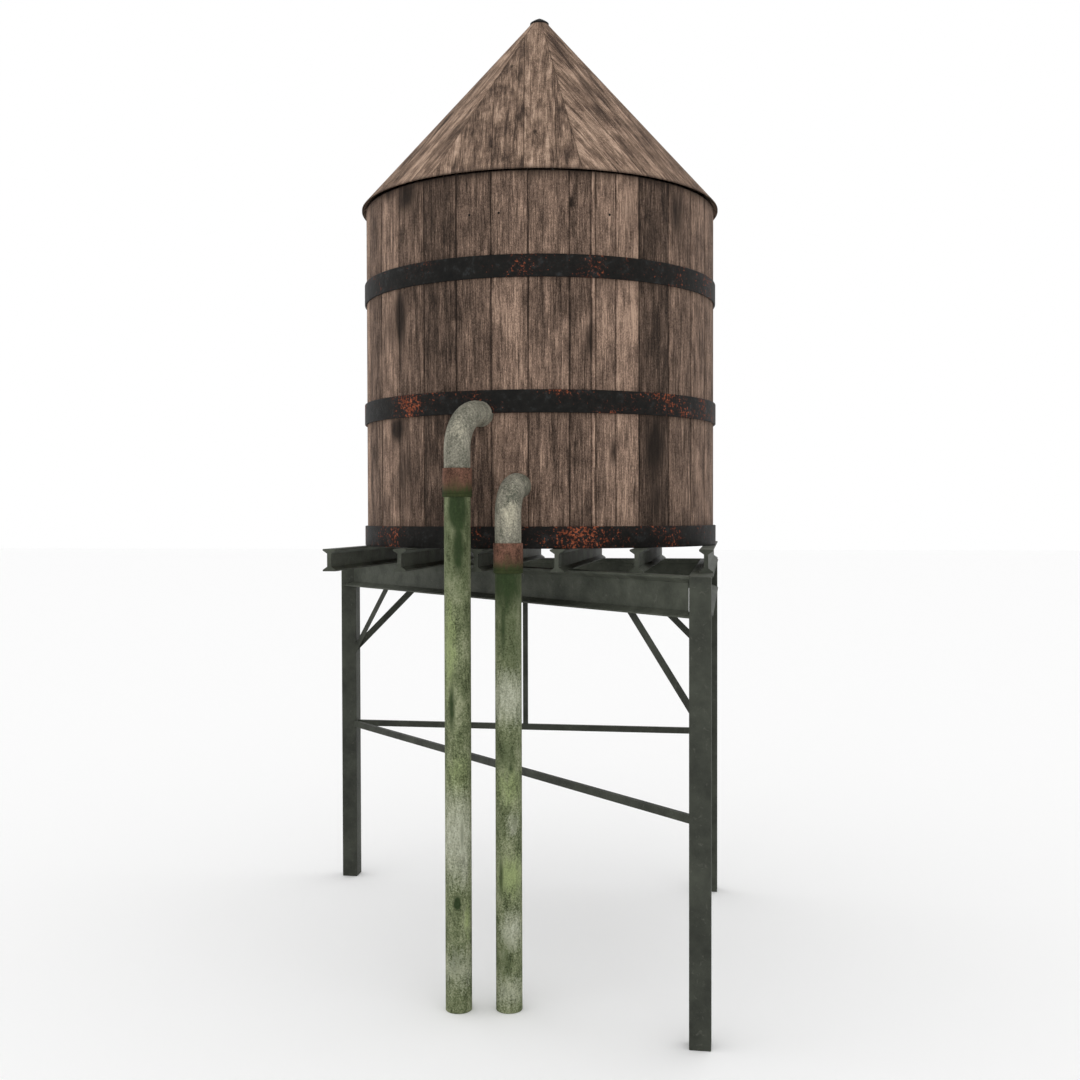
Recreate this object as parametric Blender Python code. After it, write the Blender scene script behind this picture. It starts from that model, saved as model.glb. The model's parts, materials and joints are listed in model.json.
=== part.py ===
# Water tower: a round timber tank with a conical roof, held by three iron hoops,
# standing on steel joists and beams over three legs, with two pipes at its front.
# Metres, +Z up, front towards -Y. The origin is at ground level, in the middle of
# the tower's bounding box.
import math

import bmesh
import bpy
from mathutils import Matrix, Vector

# Clearance between pieces that touch, and facets round every large circle
GAP = 0.0003
SIDES = 96

# Tank
TANK_RADIUS = 1.835
WALL_THICKNESS = 0.060
WALL_PANELS = 6
FLOOR_THICKNESS = 0.062

# Hoops: lowest and highest point above the tank's bottom, and thickness
HOOP_EDGE = 0.007
HOOPS = {
    "hoop_bottom": (0.0, 0.206, 0.026),
    "hoop_middle": (1.258, 1.471, 0.0245),
    "hoop_upper": (2.506, 2.717, 0.020),
}

# Roof, a cone of boards with a low cap
EAVE_RADIUS = 1.881
EAVE_ABOVE_FLOOR = 3.490
EAVE_EDGE = 0.010
ROOF_RISE = 2.130
ROOF_PANELS = 6
ROOF_THICKNESS = 0.034
ROOF_HOLE = 0.070
CAP_RADIUS = 0.0995
CAP_TIP_DROP = 0.038
CAP_DOME = ((0, 0), (0.035, 0.012), (0.068, 0.031), (CAP_RADIUS, 0.052))

# Stand: a right-angled triangle of three legs round the corner leg
LEG = 0.1845
LEG_EDGE = 0.006
STAND_SIDE = 4.438
CORNER_FROM_AXIS = 1.767
BEAM_BOTTOM = 3.621
BEAM_HEIGHT = 0.348
BEAM_FLANGE = 0.203
BEAM_WEB = 0.040
BEAM_TIP = 0.015
BEAM_ROOT = 0.056

# Joists under the tank: places are measured from the tank's axis
JOIST_HEIGHT = 0.2085
JOIST_FLANGE = 0.123
JOIST_WEB = 0.038
JOIST_TIP = 0.014
JOIST_ROOT = 0.043
JOIST_PLACES = (-1.688, -1.012, -0.290, 0.456, 1.181, 1.800)
JOIST_FRONT = -2.013
JOIST_REAR = 1.812

# Ties, the hanger of the rear side, and flat knee braces; a brace's reach is
# measured along the beam from the middle of its leg
TIE = 0.070
TIE_WIDTH = 0.050
TIE_HEIGHT = 1.906
HANGER = 0.057
HANGER_DEPTH = 0.040
HANGER_SHIFT = -0.010
BRACE_DEPTH = 0.0765
BRACE_WIDTH = 0.008
BRACES = (
    ("brace_rear_left", "leg_left", "leg_corner", 0.842),
    ("brace_rear_corner", "leg_corner", "leg_left", 0.795),
    ("brace_side_front", "leg_front", "leg_corner", 0.811),
    ("brace_side_corner", "leg_corner", "leg_front", 0.811),
    ("brace_diagonal_front", "leg_front", "leg_left", 0.898),
    ("brace_diagonal_left", "leg_left", "leg_front", 0.905),
)

# Pipes: foot place and the elbow's way into the wall, from the tank's axis
PIPE_RADIUS = 0.120
PIPE_SIDES = 32
COUPLING_RADIUS = 0.1345
COUPLING_EDGE = 0.006
PIPES = (
    {"name": "left", "foot": (-0.4225, -2.192), "coupling": (4.654, 4.915),
     "entry": 5.430, "bend": 0.346, "towards": (0.350, 0.937)},
    {"name": "right", "foot": (0.030, -2.121), "coupling": (3.966, 4.238),
     "entry": 4.758, "bend": 0.270, "towards": (0.1428, 0.9898)},
)

# Heights that follow from the sizes above
BEAM_TOP = BEAM_BOTTOM + BEAM_HEIGHT
JOIST_BOTTOM = BEAM_TOP + GAP
JOIST_TOP = JOIST_BOTTOM + JOIST_HEIGHT
TANK_BOTTOM = JOIST_TOP + GAP
EAVE = TANK_BOTTOM + EAVE_ABOVE_FLOOR
WALL_TOP = EAVE - GAP

# The box of the tower runs from the outer faces of the far legs to the eave
FAR_FACE = STAND_SIDE - CORNER_FROM_AXIS + LEG / 2
AXIS = (FAR_FACE - EAVE_RADIUS) / 2
CORNER = AXIS + CORNER_FROM_AXIS
FAR = CORNER - STAND_SIDE
LEGS = {
    "leg_corner": Vector((CORNER, CORNER, 0)),
    "leg_front": Vector((CORNER, FAR, 0)),
    "leg_left": Vector((FAR, CORNER, 0)),
}


# Scene, collections and materials

def start_scene():
    """Empty the scene and return the collections for the parts and the cutters."""
    for leftover in list(bpy.data.objects):
        bpy.data.objects.remove(leftover, do_unlink=True)
    collections = []
    for name in ("water_tower", "cutters"):
        collection = bpy.data.collections.new(name)
        bpy.context.scene.collection.children.link(collection)
        collections.append(collection)
    return collections


PARTS, CUTTERS = start_scene()


def material(name, color, roughness, metallic):
    """A plain Principled material in the colour of the real surface."""
    made = bpy.data.materials.new(name)
    made.use_nodes = True
    shader = made.node_tree.nodes["Principled BSDF"]
    shader.inputs["Base Color"].default_value = (*color, 1)
    shader.inputs["Roughness"].default_value = roughness
    shader.inputs["Metallic"].default_value = metallic
    return made


WOOD = material("weathered_boards", (0.17, 0.12, 0.088), 0.85, 0.0)
ROOF_WOOD = material("roof_boards", (0.22, 0.155, 0.115), 0.85, 0.0)
HOOP_IRON = material("black_hoop_iron", (0.012, 0.012, 0.013), 0.6, 0.5)
CAP_METAL = material("cap_metal", (0.02, 0.02, 0.02), 0.6, 0.4)
STEEL_PAINT = material("grey_green_paint", (0.05, 0.053, 0.045), 0.6, 0.0)
MOSSY_PIPE = material("mossy_pipe", (0.13, 0.16, 0.07), 0.9, 0.0)
RUSTY_COUPLING = material("rusty_coupling", (0.17, 0.085, 0.06), 0.8, 0.2)
ELBOW_METAL = material("grey_elbow_metal", (0.26, 0.26, 0.22), 0.7, 0.1)


# Building helpers

def add_part(name, mesh, surface):
    """Link a mesh as one named part of the tower."""
    mesh.name = name
    mesh.materials.clear()
    mesh.materials.append(surface)
    part = bpy.data.objects.new(name, mesh)
    PARTS.objects.link(part)
    return part


def add_cutter(name, mesh):
    """Link a mesh that only cuts others, shown as wire and never rendered."""
    cutter = bpy.data.objects.new(name, mesh)
    CUTTERS.objects.link(cutter)
    cutter.hide_render = True
    cutter.display_type = "WIRE"
    return cutter


def finish_mesh(shape):
    """Turn a bmesh into a mesh with its faces pointing out."""
    bmesh.ops.remove_doubles(shape, verts=shape.verts, dist=1e-6)
    bmesh.ops.recalc_face_normals(shape, faces=shape.faces)
    if shape.calc_volume(signed=True) < 0:
        bmesh.ops.reverse_faces(shape, faces=shape.faces)
    mesh = bpy.data.meshes.new("shape")
    shape.to_mesh(mesh)
    shape.free()
    return mesh


def box_mesh(size, bevel=0.0):
    """A box about its own centre, with an optional small chamfer."""
    shape = bmesh.new()
    bmesh.ops.create_cube(shape, size=1)
    bmesh.ops.scale(shape, verts=shape.verts, vec=size)
    if bevel:
        bmesh.ops.bevel(shape, geom=shape.edges[:], offset=bevel, segments=1, profile=0.5,
                        affect="EDGES", material=-1)
    return finish_mesh(shape)


def cylinder_mesh(radius, depth, sides, bevel=0.0):
    """An upright cylinder about its own centre, with an optional chamfer on its rims."""
    shape = bmesh.new()
    bmesh.ops.create_cone(shape, cap_ends=True, segments=sides, radius1=radius,
                          radius2=radius, depth=depth)
    if bevel:
        rims = [edge for edge in shape.edges
                if abs(edge.verts[0].co.z - edge.verts[1].co.z) < 1e-6]
        bmesh.ops.bevel(shape, geom=rims, offset=bevel, segments=1, profile=0.5,
                        affect="EDGES", material=-1)
    return finish_mesh(shape)


def turned_mesh(profile, steps):
    """Turn a (radius, height) profile fully round the Z axis, as a closed skin."""
    shape = bmesh.new()
    verts = [shape.verts.new((radius, 0, height)) for radius, height in profile]
    for first, second in zip(verts, verts[1:]):
        shape.edges.new((first, second))
    if profile[0][0] > 0:
        shape.edges.new((verts[-1], verts[0]))
    bmesh.ops.spin(shape, geom=shape.verts[:] + shape.edges[:], cent=(0, 0, 0),
                   axis=(0, 0, 1), angle=2 * math.pi, steps=steps, use_merge=True)
    return finish_mesh(shape)


def sector_mesh(profile, start, angle, steps):
    """Turn a closed (radius, height) profile about the Z axis by part of a turn."""
    shape = bmesh.new()
    shape.faces.new([shape.verts.new((radius, 0, height)) for radius, height in profile])
    bmesh.ops.rotate(shape, verts=shape.verts, matrix=Matrix.Rotation(start, 3, "Z"))
    bmesh.ops.spin(shape, geom=shape.verts[:] + shape.edges[:] + shape.faces[:],
                   cent=(0, 0, 0), axis=(0, 0, 1), angle=angle, steps=steps)
    return finish_mesh(shape)


def outline_mesh(outline, length):
    """A straight bar: a closed flat outline drawn out along its own Z axis."""
    curve = bpy.data.curves.new("outline", "CURVE")
    curve.dimensions = "2D"
    curve.fill_mode = "BOTH"
    curve.extrude = length / 2
    spline = curve.splines.new("POLY")
    spline.points.add(len(outline) - 1)
    for point, (x, y) in zip(spline.points, outline):
        point.co = (x, y, 0, 1)
    spline.use_cyclic_u = True
    return mesh_of_curve(curve)


def mesh_of_curve(curve):
    """The welded, closed mesh of a curve, whose own object is then removed."""
    holder = bpy.data.objects.new("curve", curve)
    PARTS.objects.link(holder)
    evaluated = holder.evaluated_get(bpy.context.evaluated_depsgraph_get())
    mesh = bpy.data.meshes.new_from_object(evaluated)
    bpy.data.objects.remove(holder, do_unlink=True)
    shape = bmesh.new()
    shape.from_mesh(mesh)
    return finish_mesh(shape)


def cut(part, cutters):
    """Take the cutters' shapes out of a part."""
    for cutter in cutters:
        boolean = part.modifiers.new(cutter.name, "BOOLEAN")
        boolean.operation = "DIFFERENCE"
        boolean.solver = "EXACT"
        boolean.object = cutter


def smooth(part, angle=math.radians(30)):
    """Shade a round piece smooth, with its real edges kept sharp."""
    part.data.shade_smooth()
    part.data.set_sharp_from_angle(angle=angle)


# Tank

def ring_angle(panels):
    """Angle of one of several equal panels, less the gap between neighbours."""
    return 2 * math.pi / panels - GAP / TANK_RADIUS


def tank_wall():
    """Wall in panels, each a curved run of staves."""
    inner = TANK_RADIUS - WALL_THICKNESS
    profile = ((inner, TANK_BOTTOM), (TANK_RADIUS, TANK_BOTTOM),
               (TANK_RADIUS, WALL_TOP), (inner, WALL_TOP))
    for index in range(WALL_PANELS):
        start = index * 2 * math.pi / WALL_PANELS + GAP / TANK_RADIUS / 2
        mesh = sector_mesh(profile, start, ring_angle(WALL_PANELS), SIDES // WALL_PANELS)
        panel = add_part(f"tank_wall_{index + 1}", mesh, WOOD)
        panel.location = (AXIS, AXIS, 0)
        smooth(panel)


def tank_floor():
    """Floor boards as one disc inside the foot of the wall."""
    radius = TANK_RADIUS - WALL_THICKNESS - GAP
    floor = add_part("tank_floor", cylinder_mesh(radius, FLOOR_THICKNESS, SIDES), WOOD)
    floor.location = (AXIS, AXIS, TANK_BOTTOM + FLOOR_THICKNESS / 2)


def hoops():
    """Flat iron bands round the wall, with rounded outer edges."""
    inner = TANK_RADIUS + GAP
    made = {}
    for name, (low, high, thickness) in HOOPS.items():
        low += TANK_BOTTOM
        high += TANK_BOTTOM
        outer = TANK_RADIUS + thickness
        profile = ((inner, low), (outer - HOOP_EDGE, low), (outer, low + HOOP_EDGE),
                   (outer, high - HOOP_EDGE), (outer - HOOP_EDGE, high), (inner, high))
        made[name] = add_part(name, turned_mesh(profile, SIDES), HOOP_IRON)
        made[name].location = (AXIS, AXIS, 0)
        smooth(made[name])
    return made


def roof():
    """Conical shell in panels, thick where it sits on the wall, and its cap."""
    slope = ROOF_RISE / EAVE_RADIUS
    peak = EAVE + EAVE_EDGE + ROOF_RISE
    drop = ROOF_THICKNESS * math.hypot(1, slope)
    plate = TANK_RADIUS - WALL_THICKNESS + 0.004
    profile = (
        (EAVE_RADIUS, EAVE),
        (EAVE_RADIUS, EAVE + EAVE_EDGE),
        (ROOF_HOLE, peak - slope * ROOF_HOLE),
        (ROOF_HOLE, peak - slope * ROOF_HOLE - drop),
        (plate, peak - slope * plate - drop),
        (plate, EAVE),
    )
    for index in range(ROOF_PANELS):
        start = index * 2 * math.pi / ROOF_PANELS + GAP / TANK_RADIUS / 2
        mesh = sector_mesh(profile, start, ring_angle(ROOF_PANELS), SIDES // ROOF_PANELS)
        panel = add_part(f"roof_panel_{index + 1}", mesh, ROOF_WOOD)
        panel.location = (AXIS, AXIS, 0)
        smooth(panel)
    tip = peak - CAP_TIP_DROP
    dome = tuple((radius, tip - drop) for radius, drop in CAP_DOME)
    under = tuple((radius, peak - slope * max(radius, ROOF_HOLE) + 2 * GAP)
                  for radius in (CAP_RADIUS, ROOF_HOLE, 0))
    cap = add_part("roof_cap", turned_mesh(dome + under, 48), CAP_METAL)
    cap.location = (AXIS, AXIS, 0)
    smooth(cap)


# Steel stand

def i_section(height, flange, web, tip, root):
    """Outline of a beam with tapered flanges, about its centre."""
    h, f, w = height / 2, flange / 2, web / 2
    right = ((f, -h), (f, -h + tip), (w, -h + root), (w, h - root), (f, h - tip), (f, h))
    left = tuple((-x, y) for x, y in reversed(right))
    return right + left


def place_bar(part, start, end):
    """Lay a bar, drawn along its own Z with its height in Y, from start to end."""
    along = (end - start).normalized()
    across = along.cross(Vector((0, 0, 1))).normalized()
    up = across.cross(along)
    turn = Matrix((-across, up, along)).transposed()
    part.matrix_world = Matrix.Translation((start + end) / 2) @ turn.to_4x4()


def leg_cutters():
    """The legs' shapes with the gap round them, which bars and beams stop at."""
    size = (LEG + 2 * GAP, LEG + 2 * GAP, 3 * BEAM_TOP)
    made = {}
    for name, foot in LEGS.items():
        made[name] = add_cutter(f"{name}_clearance", box_mesh(size))
        made[name].location = foot
    return made


def legs():
    """Square posts from the ground to the top of the beams."""
    for name, foot in LEGS.items():
        post = add_part(name, box_mesh((LEG, LEG, BEAM_TOP), LEG_EDGE), STEEL_PAINT)
        post.location = foot + Vector((0, 0, BEAM_TOP / 2))


def beam(name, start, end):
    """A main beam between two points of its centre line."""
    section = i_section(BEAM_HEIGHT, BEAM_FLANGE, BEAM_WEB, BEAM_TIP, BEAM_ROOT)
    made = add_part(name, outline_mesh(section, (end - start).length), STEEL_PAINT)
    place_bar(made, start, end)
    return made


def main_beams(clearances):
    """Rear and side beams butt against the legs; the diagonal one is coped to them."""
    middle = Vector((0, 0, BEAM_BOTTOM + BEAM_HEIGHT / 2))
    inset = LEG / 2 + GAP
    corner, front, left = (LEGS[name] + middle for name in
                           ("leg_corner", "leg_front", "leg_left"))
    beam("rear_beam", left + Vector((inset, 0, 0)), corner - Vector((inset, 0, 0)))
    side = beam("side_beam", front + Vector((0, inset, 0)), corner - Vector((0, inset, 0)))
    diagonal = beam("diagonal_beam", front, left)
    clear = (BEAM_FLANGE + 2 * GAP, BEAM_HEIGHT * 2, STAND_SIDE)
    copes = {}
    for name, start, end in (("rear", left, corner), ("side", front, corner)):
        copes[name] = add_cutter(f"{name}_beam_clearance", box_mesh(clear))
        place_bar(copes[name], start, end)
    cut(side, [copes["rear"]])
    cut(diagonal, [clearances["leg_front"], clearances["leg_left"], *copes.values()])


def joists():
    """Six joists laid from front to back over the beams, under the tank."""
    section = i_section(JOIST_HEIGHT, JOIST_FLANGE, JOIST_WEB, JOIST_TIP, JOIST_ROOT)
    middle = JOIST_BOTTOM + JOIST_HEIGHT / 2
    for index, place in enumerate(JOIST_PLACES):
        start = Vector((AXIS + place, AXIS + JOIST_FRONT, middle))
        end = Vector((AXIS + place, AXIS + JOIST_REAR, middle))
        mesh = outline_mesh(section, JOIST_REAR - JOIST_FRONT)
        joist = add_part(f"joist_{index + 1}", mesh, STEEL_PAINT)
        place_bar(joist, start, end)


def side_ends(first, second):
    """Foot points of two legs and the way from the first to the second."""
    start, end = LEGS[first], LEGS[second]
    return start, end, (end - start).normalized()


def ties(clearances):
    """A horizontal bar low down between each pair of legs."""
    height = Vector((0, 0, TIE_HEIGHT))
    for name, first, second in (("rear_tie", "leg_left", "leg_corner"),
                                ("side_tie", "leg_front", "leg_corner"),
                                ("diagonal_tie", "leg_front", "leg_left")):
        start, end, _ = side_ends(first, second)
        mesh = box_mesh((TIE_WIDTH, TIE, (end - start).length))
        tie = add_part(name, mesh, STEEL_PAINT)
        place_bar(tie, start + height, end + height)
        cut(tie, [clearances[first], clearances[second]])


def brace(name, leg, other, reach, clearances):
    """A knee brace at 45 degrees from a leg up to the beam towards another leg."""
    start, _, way = side_ends(leg, other)
    half = BRACE_DEPTH / math.sqrt(2)
    top = BEAM_BOTTOM - GAP
    outline = ((reach - half, top), (0, top - reach + half),
               (0, top - reach - half), (reach + half, top))
    made = add_part(name, outline_mesh(outline, BRACE_WIDTH), STEEL_PAINT)
    across = way.cross(Vector((0, 0, 1)))
    turn = Matrix((way, (0, 0, 1), across)).transposed()
    made.matrix_world = Matrix.Translation(start) @ turn.to_4x4()
    cut(made, [clearances[leg]])


def knee_braces(clearances):
    """Two knee braces on every side of the stand, one at each leg."""
    for name, leg, other, reach in BRACES:
        brace(name, leg, other, reach, clearances)


def hanger():
    """The upright bar from the rear beam down to the middle of the rear tie."""
    low = TIE_HEIGHT + TIE / 2 + GAP
    high = BEAM_BOTTOM - GAP
    size = (HANGER, HANGER_DEPTH, high - low)
    bar = add_part("rear_hanger", box_mesh(size), STEEL_PAINT)
    bar.location = ((CORNER + FAR) / 2 + HANGER_SHIFT, CORNER, (low + high) / 2)


# Pipes

def elbow_path(pipe):
    """Centre line of an elbow: up from its coupling, a quarter turn, into the wall."""
    towards = Vector((*pipe["towards"], 0)).normalized()
    start = Vector((0, 0, pipe["coupling"][1] + GAP))
    turn = Vector((0, 0, pipe["entry"] - pipe["bend"]))
    points = [start]
    for step in range(13):
        angle = step / 12 * math.pi / 2
        sideways = towards * pipe["bend"] * (1 - math.cos(angle))
        points.append(turn + sideways + Vector((0, 0, pipe["bend"] * math.sin(angle))))
    points.append(points[-1] + towards * 0.25)
    return points, towards


def pipe_mesh(points):
    """A round bar along a path, with closed ends."""
    curve = bpy.data.curves.new("pipe", "CURVE")
    curve.dimensions = "3D"
    curve.bevel_depth = PIPE_RADIUS
    curve.bevel_resolution = PIPE_SIDES // 4 - 1
    curve.use_fill_caps = True
    spline = curve.splines.new("POLY")
    spline.points.add(len(points) - 1)
    for point, place in zip(spline.points, points):
        point.co = (*place, 1)
    return mesh_of_curve(curve)


def upright(name, foot, low, high, radius, surface, bevel=0.0):
    """An upright round piece between two heights."""
    mesh = cylinder_mesh(radius, high - low, PIPE_SIDES, bevel)
    made = add_part(name, mesh, surface)
    made.location = (*foot, (low + high) / 2)
    smooth(made)
    return made


def pipes(middle_hoop):
    """Two risers on the ground, each with a coupling and an elbow into the wall."""
    tank = add_cutter("tank_clearance", cylinder_mesh(TANK_RADIUS + GAP, 20, SIDES))
    tank.location = (AXIS, AXIS, 0)
    for pipe in PIPES:
        foot = (AXIS + pipe["foot"][0], AXIS + pipe["foot"][1])
        low, high = pipe["coupling"]
        name = pipe["name"]
        upright(f"riser_{name}", foot, 0, low - GAP, PIPE_RADIUS, MOSSY_PIPE)
        upright(f"coupling_{name}", foot, low, high, COUPLING_RADIUS, RUSTY_COUPLING,
                COUPLING_EDGE)
        points, towards = elbow_path(pipe)
        elbow = add_part(f"elbow_{name}", pipe_mesh(points), ELBOW_METAL)
        elbow.location = (*foot, 0)
        smooth(elbow)
        cut(elbow, [tank])
        low, high = (TANK_BOTTOM + height for height in HOOPS["hoop_middle"][:2])
        if low < pipe["entry"] + PIPE_RADIUS and pipe["entry"] - PIPE_RADIUS < high:
            clear = (PIPE_RADIUS + GAP) / math.cos(math.pi / PIPE_SIDES)
            notch = add_cutter(f"elbow_{name}_clearance",
                               cylinder_mesh(clear, 1.0, PIPE_SIDES))
            turn = Vector((0, 0, 1)).rotation_difference(towards).to_matrix().to_4x4()
            end = Vector((*foot, 0)) + points[-1]
            notch.matrix_world = Matrix.Translation(end) @ turn
            cut(middle_hoop, [notch])


def build():
    """Make every piece of the tower."""
    tank_wall()
    tank_floor()
    made_hoops = hoops()
    roof()
    clearances = leg_cutters()
    legs()
    main_beams(clearances)
    joists()
    ties(clearances)
    knee_braces(clearances)
    hanger()
    pipes(made_hoops["hoop_middle"])


build()
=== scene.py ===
# %% [markdown]
# # A timber water tower, dressed for its photograph
# The steel stand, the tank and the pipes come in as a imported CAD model, which is the fixed frame.
# This lesson keeps every solid where it is, swaps the plain round ones for finer pieces, and gives
# each surface a node material. Everything is in metres, with the front of the tower towards -Y.

import json
import math
import random

import bmesh
import bpy
from mathutils import Matrix, Vector

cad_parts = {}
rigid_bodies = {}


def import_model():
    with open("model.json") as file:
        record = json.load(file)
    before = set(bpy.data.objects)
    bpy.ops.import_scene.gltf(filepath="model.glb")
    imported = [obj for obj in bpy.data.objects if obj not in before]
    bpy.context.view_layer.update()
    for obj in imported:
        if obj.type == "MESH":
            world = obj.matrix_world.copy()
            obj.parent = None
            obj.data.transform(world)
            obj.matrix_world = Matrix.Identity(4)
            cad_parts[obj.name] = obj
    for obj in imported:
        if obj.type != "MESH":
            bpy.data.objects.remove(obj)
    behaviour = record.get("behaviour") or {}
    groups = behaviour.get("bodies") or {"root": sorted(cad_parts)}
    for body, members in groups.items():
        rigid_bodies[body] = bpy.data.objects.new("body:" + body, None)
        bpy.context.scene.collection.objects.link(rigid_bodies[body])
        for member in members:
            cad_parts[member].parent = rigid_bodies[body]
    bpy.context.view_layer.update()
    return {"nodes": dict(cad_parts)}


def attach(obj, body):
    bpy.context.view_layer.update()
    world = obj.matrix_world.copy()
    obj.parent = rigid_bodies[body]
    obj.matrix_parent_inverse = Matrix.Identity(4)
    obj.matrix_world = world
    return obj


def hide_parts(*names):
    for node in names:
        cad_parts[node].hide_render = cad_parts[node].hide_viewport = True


for leftover in list(bpy.data.objects):
    bpy.data.objects.remove(leftover, do_unlink=True)
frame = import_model()

# %% [markdown]
# ## The camera
# The photograph was taken from about 13 m away, a little below half the tower's height.
# The place, lens and tilt were found by matching corners of the stand and the hoops to the picture.
# They could be set by eye, but a few degrees change how far each flange and joist end shows.

# %% Stand the camera where the photographer stood
TANK_AXIS = Vector((0.441125, 0.441125, 0))
YAW, TILT_DOWN, ROLL = math.radians(8.7889), math.radians(1.1138), math.radians(-0.1268)
distance, sideways, height = 13.2585, -0.006, 4.4817
SENSOR_MM, FOCAL_PX, PICTURE_PX = 36, 1235.7449, 1080  # the focal length was found in pixels
aim = Matrix.Rotation(YAW, 4, "Z")
place = TANK_AXIS + aim @ Vector((sideways, -distance, 0)) + Vector((0, 0, height))
lens = bpy.data.cameras.new("camera")
lens.sensor_width, lens.lens = SENSOR_MM, SENSOR_MM * FOCAL_PX / PICTURE_PX
lens.clip_end = 1000
camera = bpy.data.objects.new("camera", lens)
camera.matrix_world = (Matrix.Translation(place) @ aim
                       @ Matrix.Rotation(math.pi / 2 - TILT_DOWN, 4, "X") @ Matrix.Rotation(ROLL, 4, "Z"))
bpy.context.scene.collection.objects.link(camera)
bpy.context.scene.camera = camera
print("camera stands at", [round(v, 2) for v in place])

# %% [markdown]
# ## Floor and light
# The tower is lit the way a cut-out studio picture is: white all round, with a little more from
# the front. A few spot lamps would give hard shadows under the tank, so the sky does most of the
# work here and one very large soft lamp adds the rest. The floor is plain and pale.

# %% Lay the floor and light the scene
FLOOR_HALF, FLOOR_DROP = 150, 0.001  # the floor lies a hair below the feet, so the two never flicker
floor_mesh = bmesh.new()
bmesh.ops.create_grid(floor_mesh, x_segments=8, y_segments=8, size=FLOOR_HALF)
bmesh.ops.translate(floor_mesh, verts=floor_mesh.verts, vec=(0, 0, -FLOOR_DROP))
floor_data = bpy.data.meshes.new("floor")
floor_mesh.to_mesh(floor_data)
floor_mesh.free()
floor = bpy.data.objects.new("floor", floor_data)
bpy.context.scene.collection.objects.link(floor)
floor_paint = bpy.data.materials.new("pale studio floor")
floor_paint.use_nodes = True
floor_shader = floor_paint.node_tree.nodes["Principled BSDF"]
floor_shader.inputs["Base Color"].default_value = (0.97, 0.97, 0.97, 1)
floor_shader.inputs["Roughness"].default_value = 0.9
floor_data.materials.append(floor_paint)

sky = bpy.data.worlds.new("white studio")
bpy.context.scene.world = sky
sky.use_nodes = True
sky.node_tree.nodes["Background"].inputs["Color"].default_value = (1, 1, 1, 1)
sky.node_tree.nodes["Background"].inputs["Strength"].default_value = 1.0

softbox = bpy.data.lights.new("front_lamp", "AREA")
softbox.shape, softbox.size, softbox.size_y, softbox.energy = "RECTANGLE", 12, 9, 160
lamp = bpy.data.objects.new("front_lamp", softbox)
lamp_place = TANK_AXIS + aim @ Vector((0, -14, 0)) + Vector((0, 0, 8))
lamp_way = TANK_AXIS + Vector((0, 0, 5)) - lamp_place
lamp.matrix_world = Matrix.Translation(lamp_place) @ lamp_way.to_track_quat("-Z", "Y").to_matrix().to_4x4()
bpy.context.scene.collection.objects.link(lamp)
bpy.context.scene.view_settings.view_transform = "Standard"
print("floor is", 2 * FLOOR_HALF, "m wide")

# %% [markdown]
# ## Colour and nodes
# Paint and timber colours are easiest to read as hex codes, but Blender mixes in linear light,
# so one function converts them. One more adds a node, sets it and links it, which keeps each
# material short enough to read from top to bottom.

# %% Two small helpers for materials
def colour(hex_code):
    """An sRGB hex code as linear red, green, blue and alpha."""
    parts = [int(hex_code[i:i + 2], 16) / 255 for i in (0, 2, 4)]
    return tuple(c / 12.92 if c <= 0.04045 else ((c + 0.055) / 1.055) ** 2.4 for c in parts) + (1,)


def add(tree, kind, inputs=None, **settings):
    """Adds a node. Each input is a value or another node's output, by the socket's name or number."""
    node = tree.nodes.new("ShaderNode" + kind)
    for name, value in settings.items():
        setattr(node, name, value)
    for socket, value in (inputs or {}).items():
        if isinstance(value, bpy.types.NodeSocket):
            tree.links.new(value, node.inputs[socket])
        else:
            node.inputs[socket].default_value = value
    return node


print("mid-grey in linear light:", round(colour("808080")[0], 3))

# %% [markdown]
# ## Weathered cedar boards
# Tanks and roofs like these are cedar. Years of sun and water raise the grain, silver the high
# ridges and leave the soft wood between them dark, and each board ages in its own way.
# A picture of wood would repeat from board to board. Stretched noise never repeats, and with a
# number stored on each board it can start at a new place and be lighter or darker than the next.

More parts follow.
